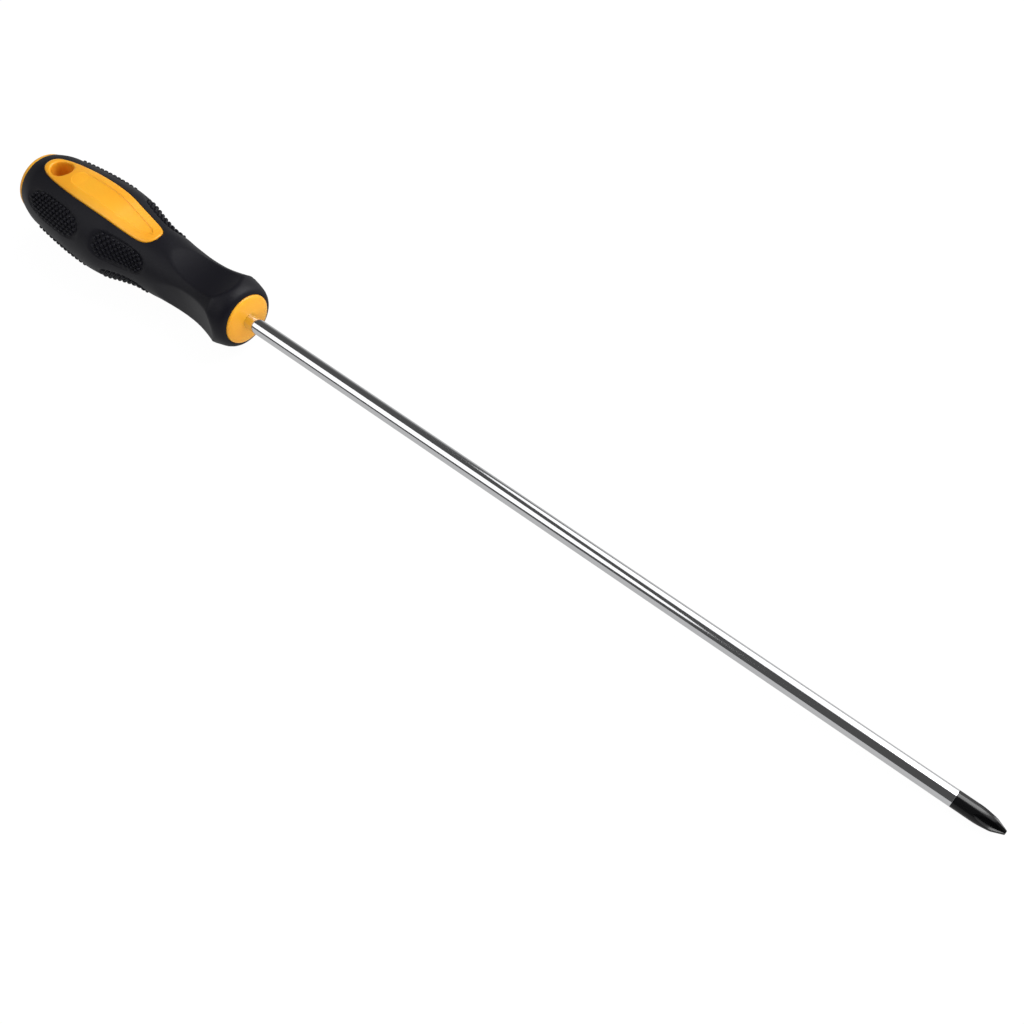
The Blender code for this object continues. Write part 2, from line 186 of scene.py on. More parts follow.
class PadSizes(bpy.types.PropertyGroup):
    """Sizes of the dotted pads."""
    pitch: bpy.props.FloatProperty(
        name="Dot pitch", description="Distance between dots in a row",
        default=2.4 * MM, precision=5, subtype="DISTANCE", unit="LENGTH")
    row_angle: bpy.props.FloatProperty(
        name="Row angle", description="Angle between rows of dots", default=math.radians(5.0),
        subtype="ANGLE", unit="ROTATION")
    dot_height: bpy.props.FloatProperty(
        name="Dot height", description="How far a middle dot stands over the skin",
        default=0.28 * MM, precision=5, subtype="DISTANCE", unit="LENGTH")
    end_height: bpy.props.FloatProperty(
        name="End dot height", description="How far the tallest end dot stands",
        default=0.55 * MM, precision=5, subtype="DISTANCE", unit="LENGTH")


class BladeSizes(bpy.types.PropertyGroup):
    """Sizes of the bar and its point."""
    radius: bpy.props.FloatProperty(
        name="Bar radius", description="Radius of the round bar",
        default=3.0 * MM, precision=5, subtype="DISTANCE", unit="LENGTH")
    wing_half: bpy.props.FloatProperty(
        name="Wing half thickness", description="Half the thickness of a point wing",
        default=0.5 * MM, precision=5, subtype="DISTANCE", unit="LENGTH")
    flute_length: bpy.props.FloatProperty(
        name="Flute length", description="From the tip to the flutes' run-out",
        default=12.7 * MM, precision=5, subtype="DISTANCE", unit="LENGTH")


class FinishColours(bpy.types.PropertyGroup):
    """Base colours of the finishes."""
    chrome: bpy.props.FloatVectorProperty(
        name="Chrome", description="Plated steel", subtype="COLOR", size=4,
        min=0.0, max=1.0, default=(0.78, 0.785, 0.80, 1.0))
    black_oxide: bpy.props.FloatVectorProperty(
        name="Black finish", description="The blade's black end", subtype="COLOR", size=4,
        min=0.0, max=1.0, default=(0.004, 0.004, 0.0045, 1.0))
    yellow: bpy.props.FloatVectorProperty(
        name="Yellow plastic", description="Hard body and cap", subtype="COLOR", size=4,
        min=0.0, max=1.0, default=(0.92, 0.432, 0.026, 1.0))
    soft_black: bpy.props.FloatVectorProperty(
        name="Soft black", description="Grip skin and pads", subtype="COLOR", size=4,
        min=0.0, max=1.0, default=(0.0030, 0.0028, 0.0060, 1.0))
    core_grey: bpy.props.FloatVectorProperty(
        name="Core grey", description="Hidden core round the tang", subtype="COLOR", size=4,
        min=0.0, max=1.0, default=(0.10, 0.10, 0.11, 1.0))


# --------------------------------------------------------------------------- shape of the grip

def curve_through(points, station):
    """The value at a station on a smooth curve through (station, value) points."""
    ordered = sorted(points)
    if station <= ordered[0][0]:
        return ordered[0][1]
    if station >= ordered[-1][0]:
        return ordered[-1][1]
    index = max(i for i, point in enumerate(ordered) if point[0] <= station)
    index = min(index, len(ordered) - 2)
    before = ordered[max(index - 1, 0)]
    here = ordered[index]
    after = ordered[index + 1]
    beyond = ordered[min(index + 2, len(ordered) - 1)]
    span = after[0] - here[0]
    t = (station - here[0]) / span
    slope_here = (after[1] - before[1]) / (after[0] - before[0]) * span
    slope_after = (beyond[1] - here[1]) / (beyond[0] - here[0]) * span
    return (here[1] * (2 * t ** 3 - 3 * t ** 2 + 1) + slope_here * (t ** 3 - 2 * t ** 2 + t)
            + after[1] * (3 * t ** 2 - 2 * t ** 3) + slope_after * (t ** 3 - t ** 2))


def grip_radius(station):
    """The grip's outer radius at a station."""
    outline = FLANGE_OUTLINE if station > FLANGE_PEAK else GRIP_OUTLINE
    return curve_through(outline, station)


def window_half_width(station):
    """Half the width that a window takes in plan at a station."""
    if station < WINDOW_WIDEST:
        share = (WINDOW_WIDEST - station) / (WINDOW_WIDEST - WINDOW_REAR)
        squareness, bluntness = REAR_SQUARENESS, REAR_BLUNTNESS
    else:
        share = (station - WINDOW_WIDEST) / (WINDOW_FRONT - WINDOW_WIDEST)
        squareness, bluntness = FRONT_SQUARENESS, FRONT_BLUNTNESS
    angle = WINDOW_HALF_ANGLE * max(1.0 - min(share, 1.0) ** squareness, 0.0) ** bluntness
    return grip_radius(station) * math.sin(angle)


def window_outline(margin, rear, front, count):
    """A window's plan outline, anticlockwise, drawn in by margin, with count even steps a side."""
    fine = 200
    side = []
    for index in range(-fine, fine + 1):
        reach = (front if index > 0 else rear) - WINDOW_WIDEST
        station = WINDOW_WIDEST + reach * abs(math.sin(math.pi * index / (2.0 * fine)))
        half = window_half_width(station) - margin
        if half > 0.02:
            side.append(Vector((station, half)))
    side = [Vector((side[0].x, 0.0))] + side + [Vector((side[-1].x, 0.0))]
    run = [0.0]
    for before, after in zip(side, side[1:]):
        run.append(run[-1] + (after - before).length)
    even = []
    for index in range(count + 1):
        goal = run[-1] * index / count
        at = next(i for i in range(1, len(run)) if run[i] >= goal - 1e-6)
        even.append(side[at - 1].lerp(side[at], (goal - run[at - 1]) / (run[at] - run[at - 1])))
    ring = [Vector((point.x, -point.y)) for point in even[:-1]] + even[:0:-1]
    relaxing = 8
    for _ in range(relaxing):
        ring = [(ring[i - 1] + 2.0 * ring[i] + ring[(i + 1) % len(ring)]) / 4.0
                for i in range(len(ring))]
    return [(point.x, point.y) for point in ring]


def oval(length, width, station, count):
    """An oval's plan outline, anticlockwise."""
    turns = [2.0 * math.pi * index / count for index in range(count)]
    return [(station + length / 2 * math.cos(a), width / 2 * math.sin(a)) for a in turns]


def barrel_height(x, y):
    """Height of the grip's surface over the axis at a point in plan."""
    return math.sqrt(max(grip_radius(x) ** 2 - y * y, 1.0))


def body_side():
    """The stretch of the hard body under the skin, front to rear."""
    side = [(-2.4, 10.3), (-7.0, NECK_CORE), (-36.0, NECK_CORE)]
    for station in (-48.0, -56.0, -64.0, -70.0, -77.0, -85.0, -94.0, -103.0, -111.0):
        side.append((station, grip_radius(station) - BODY_INSET))
    side.append((BODY_REAR, 11.2))
    return side


# --------------------------------------------------------------------------- modelling steps

def deselect():
    """Clears the selection, because every operator acts on all that is selected."""
    bpy.ops.object.select_all(action="DESELECT")


def pick(piece):
    """Makes one object the selected and active one."""
    deselect()
    piece.select_set(True)
    bpy.context.view_layer.objects.active = piece


def newly_added(name):
    """Names the object that a primitive operator has just added."""
    piece = bpy.context.active_object
    piece.name = name
    piece.data.name = name
    return piece


def settle(piece):
    """Puts an object's place, turn and scale into its mesh."""
    pick(piece)
    bpy.ops.object.transform_apply(location=True, rotation=True, scale=True)


def turn_profile(name, outline, steps, closed=False):
    """Draws a profile point by point and spins it round the X axis."""
    deselect()
    first = outline[0]
    bpy.ops.mesh.primitive_plane_add(size=0.1, location=(first[0], 0.0, first[1]))
    piece = newly_added(name)
    bpy.ops.object.mode_set(mode="EDIT")
    bpy.ops.mesh.select_mode(type="VERT")
    bpy.ops.mesh.select_all(action="SELECT")
    bpy.ops.mesh.merge(type="CENTER")
    ends = outline[1:] + [first] if closed else outline[1:]
    here = first
    for there in ends:
        step = (there[0] - here[0], 0.0, there[1] - here[1])
        bpy.ops.mesh.extrude_region_move(TRANSFORM_OT_translate={"value": step})
        here = there
    bpy.ops.mesh.select_all(action="SELECT")
    bpy.ops.mesh.remove_doubles(threshold=0.002)
    bpy.ops.mesh.spin(steps=steps, angle=2.0 * math.pi, center=(0.0, 0.0, 0.0),
                      axis=(1.0, 0.0, 0.0), use_auto_merge=True)
    bpy.ops.mesh.select_all(action="SELECT")
    bpy.ops.mesh.remove_doubles(threshold=0.002)
    bpy.ops.mesh.normals_make_consistent(inside=False)
    bpy.ops.object.mode_set(mode="OBJECT")
    settle(piece)
    return piece


def outward(outline):
    """The outward direction at each point of an anticlockwise outline."""
    directions = []
    count = len(outline)
    for index in range(count):
        before = Vector(outline[index - 1])
        after = Vector(outline[(index + 1) % count])
        along = (after - before).normalized()
        directions.append(Vector((along.y, -along.x)))
    return directions


def slab(name, outline, levels):
    """A closed slab on a plan outline, from (height, inset) levels given from top to bottom."""
    deselect()
    bpy.ops.mesh.primitive_circle_add(vertices=len(outline), radius=1.0, fill_type="NGON")
    piece = newly_added(name)
    normals = outward(outline)
    rings = []
    for height, inset in levels:
        rings.append([Vector((x - n.x * inset, y - n.y * inset, height))
                      for (x, y), n in zip(outline, normals)])
    for vertex, place in zip(piece.data.vertices, rings[0]):
        vertex.co = place
    bpy.ops.object.mode_set(mode="EDIT")
    for above, below in zip(rings, rings[1:]):
        drop = below[0].z - above[0].z
        bpy.ops.mesh.extrude_region_move(TRANSFORM_OT_translate={"value": (0.0, 0.0, drop)})
        work = bmesh.from_edit_mesh(piece.data)
        lookup = {(round(p.x, 3), round(p.y, 3)): index for index, p in enumerate(above)}
        for vertex in work.verts:
            if vertex.select:
                vertex.co = below[lookup[(round(vertex.co.x, 3), round(vertex.co.y, 3))]]
        bmesh.update_edit_mesh(piece.data)
    bpy.ops.mesh.select_all(action="SELECT")
    bpy.ops.mesh.normals_make_consistent(inside=False)
    bpy.ops.object.mode_set(mode="OBJECT")
    return piece


def boolean(target, tool, operation):
    """Applies one Boolean to a piece and removes its tool."""
    pick(target)
    modifier = target.modifiers.new("cut", "BOOLEAN")
    modifier.operation = operation
    modifier.solver = "EXACT"
    modifier.object = tool
    bpy.ops.object.modifier_apply(modifier=modifier.name)
    bpy.data.objects.remove(tool, do_unlink=True)


def score(piece, rear, front, along, half_width, across):
    """Cuts a flat slab into a net of small faces, so that it can be bent."""
    pick(piece)
    bpy.ops.object.mode_set(mode="EDIT")
    bpy.ops.mesh.select_all(action="SELECT")
    bpy.ops.mesh.quads_convert_to_tris()
    cuts = int((front - rear) / along)
    for index in range(1, cuts):
        bpy.ops.mesh.select_all(action="SELECT")
        bpy.ops.mesh.bisect(plane_co=(rear + (front - rear) * index / cuts, 0.0, 0.0),
                            plane_no=(1.0, 0.0, 0.0))
    rows = int(half_width / across)
    for index in range(-rows, rows + 1):
        bpy.ops.mesh.select_all(action="SELECT")
        bpy.ops.mesh.bisect(plane_co=(0.0, index * across, 0.0), plane_no=(0.0, 1.0, 0.0))
    bpy.ops.object.mode_set(mode="OBJECT")


def bend_to_barrel(piece, stand=None):
    """Lifts a flat slab so that it follows the grip; stand gives a point's height over it."""
    for vertex in piece.data.vertices:
        x, y, z = vertex.co
        over = stand(x, y, z) if stand else z
        vertex.co.z = over + barrel_height(x, y)


def copy_turned(piece, name, angle):
    """A copy with its own mesh, turned about the tool's axis."""
    twin = piece.copy()
    twin.data = piece.data.copy()
    twin.name = name
    twin.data.name = name
    bpy.context.scene.collection.objects.link(twin)
    twin.data.transform(Matrix.Rotation(angle, 4, "X"))
    return twin


def smooth(piece, degrees):
    """Shades a piece smooth except over edges sharper than an angle."""
    pick(piece)
    bpy.ops.object.shade_smooth_by_angle(angle=math.radians(degrees))


def tool_place():
    """The tool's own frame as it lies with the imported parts."""
    return Matrix.Translation(NOSE_POINT) @ Matrix.Rotation(TILT, 4, "Y")


def lay_down(piece, material, node=None):
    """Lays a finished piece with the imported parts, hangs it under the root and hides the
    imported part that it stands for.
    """
    piece.matrix_world = tool_place() @ Matrix.Scale(MM, 4)
    settle(piece)
    piece.data.materials.clear()
    piece.data.materials.append(material)
    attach(piece, "root")
    if node:
        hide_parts(node)
    deselect()


# --------------------------------------------------------------------------- finishes

def new_group(name, inputs, outputs):
    """A shader node group with float, colour or vector sockets."""
    group = bpy.data.node_groups.new(name, "ShaderNodeTree")
    for socket, kind, value in inputs:
        made = group.interface.new_socket(name=socket, in_out="INPUT", socket_type=kind)
        if value is not None:
            made.default_value = value
    for socket, kind in outputs:
        group.interface.new_socket(name=socket, in_out="OUTPUT", socket_type=kind)
    start = group.nodes.new("NodeGroupInput")
    end = group.nodes.new("NodeGroupOutput")
    return group, start, end


def noise(tree, vector, scale, detail=3.0, roughness=0.5):
    """A noise texture on a coordinate; scale is a number or a socket."""
    node = tree.nodes.new("ShaderNodeTexNoise")
    node.inputs["Detail"].default_value = detail
    node.inputs["Roughness"].default_value = roughness
    tree.links.new(vector, node.inputs["Vector"])
    if isinstance(scale, bpy.types.NodeSocket):
        tree.links.new(scale, node.inputs["Scale"])
    else:
        node.inputs["Scale"].default_value = scale
    return node.outputs["Fac"]


def remap(tree, value, low, high, to_low=0.0, to_high=1.0):
    """A clamped linear remap of a value."""
    node = tree.nodes.new("ShaderNodeMapRange")
    node.inputs["From Min"].default_value = low
    node.inputs["From Max"].default_value = high
    node.inputs["To Min"].default_value = to_low
    node.inputs["To Max"].default_value = to_high
    tree.links.new(value, node.inputs["Value"])
    return node.outputs["Result"]


def math_node(tree, operation, a, b):
    """A math node on two sockets or numbers."""
    node = tree.nodes.new("ShaderNodeMath")
    node.operation = operation
    for index, item in enumerate((a, b)):
        if isinstance(item, bpy.types.NodeSocket):
            tree.links.new(item, node.inputs[index])
        else:
            node.inputs[index].default_value = item
    return node.outputs[0]


def mix_colour(tree, factor, first, second):
    """A colour between two, which are sockets or values."""
    node = tree.nodes.new("ShaderNodeMix")
    node.data_type = "RGBA"
    tree.links.new(factor, node.inputs[0])
    for socket, item in ((node.inputs[6], first), (node.inputs[7], second)):
        if isinstance(item, bpy.types.NodeSocket):
            tree.links.new(item, socket)
        else:
            socket.default_value = item
    return node.outputs[2]


def moulded_grain():
    """Group: fine spark-eroded grain of a mould with broad, shallow flow marks."""
    name = "moulded_grain"
    if name in bpy.data.node_groups:
        return bpy.data.node_groups[name]
    group, start, end = new_group(
        name,
        [("Vector", "NodeSocketVector", None), ("Grain scale", "NodeSocketFloat", 2600.0),
         ("Flow scale", "NodeSocketFloat", 90.0), ("Flow share", "NodeSocketFloat", 0.5)],
        [("Height", "NodeSocketFloat"), ("Flow", "NodeSocketFloat")])
    grain = noise(group, start.outputs["Vector"], start.outputs["Grain scale"], 2.0, 0.6)
    flow = noise(group, start.outputs["Vector"], start.outputs["Flow scale"], 2.0, 0.4)
    lifted = math_node(group, "MULTIPLY", flow, start.outputs["Flow share"])
    total = math_node(group, "ADD", grain, lifted)
    group.links.new(total, end.inputs["Height"])
    group.links.new(flow, end.inputs["Flow"])
    return group


def handling_marks():
    """Group: sparse soft smudges and fine scuffs that change the gloss a little."""
    name = "handling_marks"
    if name in bpy.data.node_groups:
        return bpy.data.node_groups[name]
    group, start, end = new_group(
        name,
        [("Vector", "NodeSocketVector", None), ("Smudge scale", "NodeSocketFloat", 60.0),
         ("Scuff scale", "NodeSocketFloat", 420.0)],
        [("Mask", "NodeSocketFloat")])
    smudge = noise(group, start.outputs["Vector"], start.outputs["Smudge scale"], 3.0, 0.55)
    scuff = noise(group, start.outputs["Vector"], start.outputs["Scuff scale"], 4.0, 0.7)
    soft = remap(group, smudge, 0.42, 0.68)
    fine = remap(group, scuff, 0.55, 0.72)
    both = math_node(group, "MULTIPLY", soft, fine)
    group.links.new(both, end.inputs["Mask"])
    return group


def tool_coordinates(tree):
    """Object coordinates brought back to the tool's own frame, in metres."""
    source = tree.nodes.new("ShaderNodeTexCoord")
    mapping = tree.nodes.new("ShaderNodeMapping")
    mapping.vector_type = "TEXTURE"
    mapping.inputs["Location"].default_value = NOSE_POINT
    mapping.inputs["Rotation"].default_value = (0.0, TILT, 0.0)
    tree.links.new(source.outputs["Object"], mapping.inputs["Vector"])
    return mapping.outputs["Vector"]


def new_finish(name):
    """A node material and the parts of it that every finish uses."""
    material = bpy.data.materials.new(name)
    material.use_nodes = True
    tree = material.node_tree
    return material, tree, tree.nodes["Principled BSDF"], tool_coordinates(tree)


def place_group(tree, group, vector, values):
    """Places a node group on a coordinate with its own values."""
    node = tree.nodes.new("ShaderNodeGroup")
    node.node_tree = group
    tree.links.new(vector, node.inputs["Vector"])
    for socket, value in values.items():
        node.inputs[socket].default_value = value
    return node


def add_bump(tree, shader, height, strength, distance):
    """Feeds a height to the shader's normal."""
    bump = tree.nodes.new("ShaderNodeBump")
    bump.inputs["Strength"].default_value = strength
    bump.inputs["Distance"].default_value = distance
    tree.links.new(height, bump.inputs["Height"])
    tree.links.new(bump.outputs["Normal"], shader.inputs["Normal"])


def finish_named(name, build):
    """The finish of that name, built on first use."""
    found = bpy.data.materials.get(name)
    return found or build(name)


def soft_rubber(name):
    """Black thermoplastic rubber: satin, faintly grained, a little paler where handled."""
    colours = bpy.context.scene.screwdriver_finish
    material, tree, shader, vector = new_finish(name)
    grain = place_group(tree, moulded_grain(), vector, {"Grain scale": 2200.0,
                                                        "Flow scale": 70.0, "Flow share": 0.6})
    marks = place_group(tree, handling_marks(), vector, {})
    black = tuple(colours.soft_black)
    pale = tuple(min(1.0, channel * 1.9) for channel in black[:3]) + (1.0,)
    tone = mix_colour(tree, marks.outputs["Mask"], black, pale)
    tree.links.new(tone, shader.inputs["Base Color"])
    rough = remap(tree, grain.outputs["Flow"], 0.3, 0.7, 0.48, 0.56)
    tree.links.new(rough, shader.inputs["Roughness"])
    shader.inputs["IOR"].default_value = 1.35
    shader.inputs["Specular IOR Level"].default_value = 0.54
    add_bump(tree, shader, grain.outputs["Height"], 0.16, 0.00012)
    return material


def hard_yellow(name):
    """Yellow moulded plastic: semi-gloss, with faint flow marks in a deeper tone."""
    colours = bpy.context.scene.screwdriver_finish
    material, tree, shader, vector = new_finish(name)
    grain = place_group(tree, moulded_grain(), vector, {"Grain scale": 3200.0,
                                                        "Flow scale": 55.0, "Flow share": 0.9})
    marks = place_group(tree, handling_marks(), vector, {"Smudge scale": 45.0})
    yellow = tuple(colours.yellow)
    deep = (yellow[0] * 0.97, yellow[1] * 0.88, yellow[2] * 0.7, 1.0)
    tone = mix_colour(tree, remap(tree, grain.outputs["Flow"], 0.35, 0.7), yellow, deep)
    tree.links.new(tone, shader.inputs["Base Color"])
    rough = remap(tree, marks.outputs["Mask"], 0.0, 1.0, 0.34, 0.46)
    tree.links.new(rough, shader.inputs["Roughness"])
    shader.inputs["Subsurface Weight"].default_value = 0.12
    shader.inputs["Subsurface Radius"].default_value = (0.9, 0.4, 0.1)
    shader.inputs["Subsurface Scale"].default_value = 0.0015
    add_bump(tree, shader, grain.outputs["Height"], 0.05, 0.0001)
    return material


def plated_steel(name):
    """Bright chrome on the bar, and a black oxide finish from a sharp line to the tip."""
    colours = bpy.context.scene.screwdriver_finish
    material, tree, shader, vector = new_finish(name)
    parts = tree.nodes.new("ShaderNodeSeparateXYZ")
    tree.links.new(vector, parts.inputs["Vector"])
    waver = noise(tree, vector, 700.0, 1.0, 0.5)
    shift = math_node(tree, "MULTIPLY", math_node(tree, "SUBTRACT", waver, 0.5), 0.00025)
    edge = math_node(tree, "ADD", parts.outputs["X"], shift)
    fade = 0.00005
    mask = remap(tree, edge, BLACK_FROM * MM - fade, BLACK_FROM * MM + fade)
    tone = mix_colour(tree, mask, tuple(colours.chrome), tuple(colours.black_oxide))
    tree.links.new(tone, shader.inputs["Base Color"])
    tree.links.new(remap(tree, mask, 0.0, 1.0, 1.0, 0.0), shader.inputs["Metallic"])
    stretched = tree.nodes.new("ShaderNodeMapping")
    stretched.inputs["Scale"].default_value = (0.12, 1.0, 1.0)
    tree.links.new(vector, stretched.inputs["Vector"])
    drawn = noise(tree, stretched.outputs["Vector"], 2400.0, 3.0, 0.6)
    marks = place_group(tree, handling_marks(), vector, {"Smudge scale": 70.0})
    gloss = math_node(tree, "ADD", remap(tree, marks.outputs["Mask"], 0.0, 1.0, 0.08, 0.13),
                      math_node(tree, "MULTIPLY", mask, 0.10))
    tree.links.new(gloss, shader.inputs["Roughness"])
    shader.inputs["Specular IOR Level"].default_value = 0.3
    add_bump(tree, shader, drawn, 0.03, 0.00004)
    return material


def core_plastic(name):
    """Plain hard grey plastic of the hidden core, with the mould's grain."""
    colours = bpy.context.scene.screwdriver_finish
    material, tree, shader, vector = new_finish(name)
    grain = place_group(tree, moulded_grain(), vector, {})
    grey = tuple(colours.core_grey)
    paler = tuple(channel * 1.3 for channel in grey[:3]) + (1.0,)
    tone = mix_colour(tree, remap(tree, grain.outputs["Flow"], 0.3, 0.7), grey, paler)
    tree.links.new(tone, shader.inputs["Base Color"])
    shader.inputs["Roughness"].default_value = 0.5
    add_bump(tree, shader, grain.outputs["Height"], 0.1, 0.0001)
    return material


# --------------------------------------------------------------------------- operators

class SCREWDRIVER_OT_blade(bpy.types.Operator):
    """Turns the bar, grinds its cross point and plates it."""
    bl_idname = "screwdriver.blade"
    bl_label = "Blade"

    def point_plate(self, name, sizes):
        """One pair of point wings seen from the side, as a thick plate that flares to the bar."""
        wing_half = sizes.wing_half / MM
        wings_end = TIP_END - WINGS_LENGTH
        run_out = TIP_END - sizes.flute_length / MM
        past_bar = sizes.radius / MM * 1.08
        full = 9.0
        steps = 14
        side = [(TIP_END + 1.0, wing_half)]
        for index in range(steps + 1):
            share = index / steps
            half = wing_half + (past_bar - wing_half) * share ** WING_FLARE
            side.append((wings_end + (run_out - wings_end) * share, half))
        side += [(run_out - 0.05, full), (BAR_REAR - 6.0, full)]
        outline = [(x, -y) for x, y in reversed(side)] + side
        return slab(name, outline, [(full, 0.0), (-full, 0.0)])

    def execute(self, context):
        sizes = context.scene.screwdriver_blade
        radius = sizes.radius / MM
        chamfer = 0.5
        shoulder = TIP_END - POINT_LENGTH
        bar_length = shoulder - (BAR_REAR + chamfer)
        outline = [
            (TIP_END, 0.0), (TIP_END, 0.66), (TIP_END - 0.08, 0.75), (TIP_END - 3.7, 2.34),
            (TIP_END - 4.0, 2.44), (TIP_END - 4.6, 2.56), (TIP_END - 6.4, 2.79),
            (TIP_END - 8.2, 2.94),
        ]
        rings = 24
        for index in range(rings + 1):
            outline.append((shoulder - bar_length * index / rings, radius))
        outline += [(BAR_REAR, radius - chamfer), (BAR_REAR, 0.0)]
        bar = turn_profile("blade_bar", outline, 96)
        upright = self.point_plate("point_upright", sizes)
        across = copy_turned(upright, "point_across", math.pi / 2.0)
        boolean(upright, across, "UNION")
        boolean(bar, upright, "INTERSECT")
        smooth(bar, 28.0)
        lay_down(bar, finish_named("bright_and_black_steel", plated_steel),
                 "blade")
        return {"FINISHED"}


class SCREWDRIVER_OT_hard_body(bpy.types.Operator):
    """Turns the hard body with its nose and cavity, and grows the two window panels on it."""
    bl_idname = "screwdriver.hard_body"
    bl_label = "Hard body"

    def window_panel(self):
        """The upper panel: a flat slab with rounded edges, recessed, scored and bent."""
        edge = [(0.0, 0.46), (-0.03, 0.30), (-0.09, 0.17), (-0.20, 0.06), (-0.34, 0.0),
                (-4.0, 0.0)]
        outline = window_outline(WINDOW_GAP, WINDOW_REAR + WINDOW_GAP,
                                 WINDOW_FRONT - WINDOW_GAP, 64)
        panel = slab("window_panel", outline, edge)
        label = slab("label_cutter", window_outline(LABEL_MARGIN, LABEL_REAR, LABEL_FRONT, 36),
                     [(1.0, -0.27), (0.0, -0.22), (-0.06, -0.08), (-0.14, 0.0), (-0.26, 0.06),
                      (-LABEL_DEPTH, 0.16), (-0.36, 0.34)])
        boolean(panel, label, "DIFFERENCE")
        funnel = slab("hole_funnel", oval(HOLE_LENGTH, HOLE_WIDTH, HOLE_STATION, 72),
                      [(1.0, -1.1), (0.0, -1.0), (-0.05, -0.72), (-0.16, -0.46),
                       (-0.36, -0.22), (-0.66, -0.06), (-1.0, 0.0), (-1.4, 0.02)])
        boolean(panel, funnel, "DIFFERENCE")
        score(panel, WINDOW_REAR, WINDOW_FRONT, 1.2, WINDOW_REACH, across=0.8)
        bend_to_barrel(panel, self.sink_label)
        return panel

    def sink_label(self, x, y, z):
        """How far a point of the flat panel stands over the barrel, with a flat label recess."""
        near = 0.3
        lip = max(window_half_width(x) - LABEL_MARGIN, 0.0)
        inside = abs(y) < lip + near and LABEL_REAR - near < x < LABEL_FRONT + near
        if not inside or z < -0.5:
            return z + PANEL_PROUD
        ramp = min(max((x - LABEL_REAR) / LABEL_RAMP, LABEL_SHALLOWEST), 1.0)
        sunk = min(max(-z / LABEL_DEPTH, 0.0), 1.0) * ramp
        crown = max(barrel_height(x, y) - barrel_height(x, lip), 0.0)
        return z * ramp + PANEL_PROUD - sunk * crown

    def execute(self, context):
        nose = [(1.28, BAR_BORE), (1.29, 3.6), (1.28, 4.6), (1.18, 6.4), (0.98, 8.1), (0.78, 9.1),
                (0.58, 9.62), (0.34, 9.97), (0.04, 10.21), (-0.3, 10.3)]
        cavity = [(CORE_REAR, 0.0), (CORE_REAR, CORE_ROOM), (HEX_REAR, CORE_ROOM),
                  (HEX_REAR, HEX_ROOM), (HEX_FRONT, HEX_ROOM), (HEX_FRONT, CORE_ROOM),
                  (CORE_FRONT, CORE_ROOM), (CORE_FRONT, BAR_BORE)]
        rear = [(BODY_REAR, PLUG_BORE), (PLUG_FLOOR, PLUG_BORE), (PLUG_FLOOR, 0.0)]
        body = turn_profile("hard_body", cavity + nose + body_side() + rear, 128)
        upper = self.window_panel()
        lower = copy_turned(upper, "window_panel_lower", math.pi)
        boolean(body, upper, "UNION")
        boolean(body, lower, "UNION")
        clear = 0.02
        through = 30.0
        hole = slab("hang_hole", oval(HOLE_LENGTH - clear, HOLE_WIDTH - clear, HOLE_STATION, 72),
                    [(through, 0.0), (-through, 0.0)])
        boolean(body, hole, "DIFFERENCE")
        smooth(body, 42.0)
        lay_down(body, finish_named("yellow_moulding", hard_yellow),
                 "handle_body")
        return {"FINISHED"}


def pad_places():
    """The eight pads: name, middle station, half length, half angle, and angle of the middle."""
    places = []
    for number, degrees in enumerate(PAD_DEGREES, 1):
        angle = math.radians(degrees)
        places.append((f"rear_pad_{number}", *REAR_PAD, angle))
        places.append((f"middle_pad_{number}", *MIDDLE_PAD, angle))
    return places


def pad_share(x, angle, place):
    """0 at a pad's middle and 1 on its rounded outline."""
    _, middle, half_length, half_angle, turn = place
    off = (angle - turn + math.pi) % (2.0 * math.pi) - math.pi
    u = abs((x - middle) / half_length)
    v = abs(off / half_angle)
    return (u ** PAD_SQUARENESS + v ** PAD_SQUARENESS) ** (1.0 / PAD_SQUARENESS)


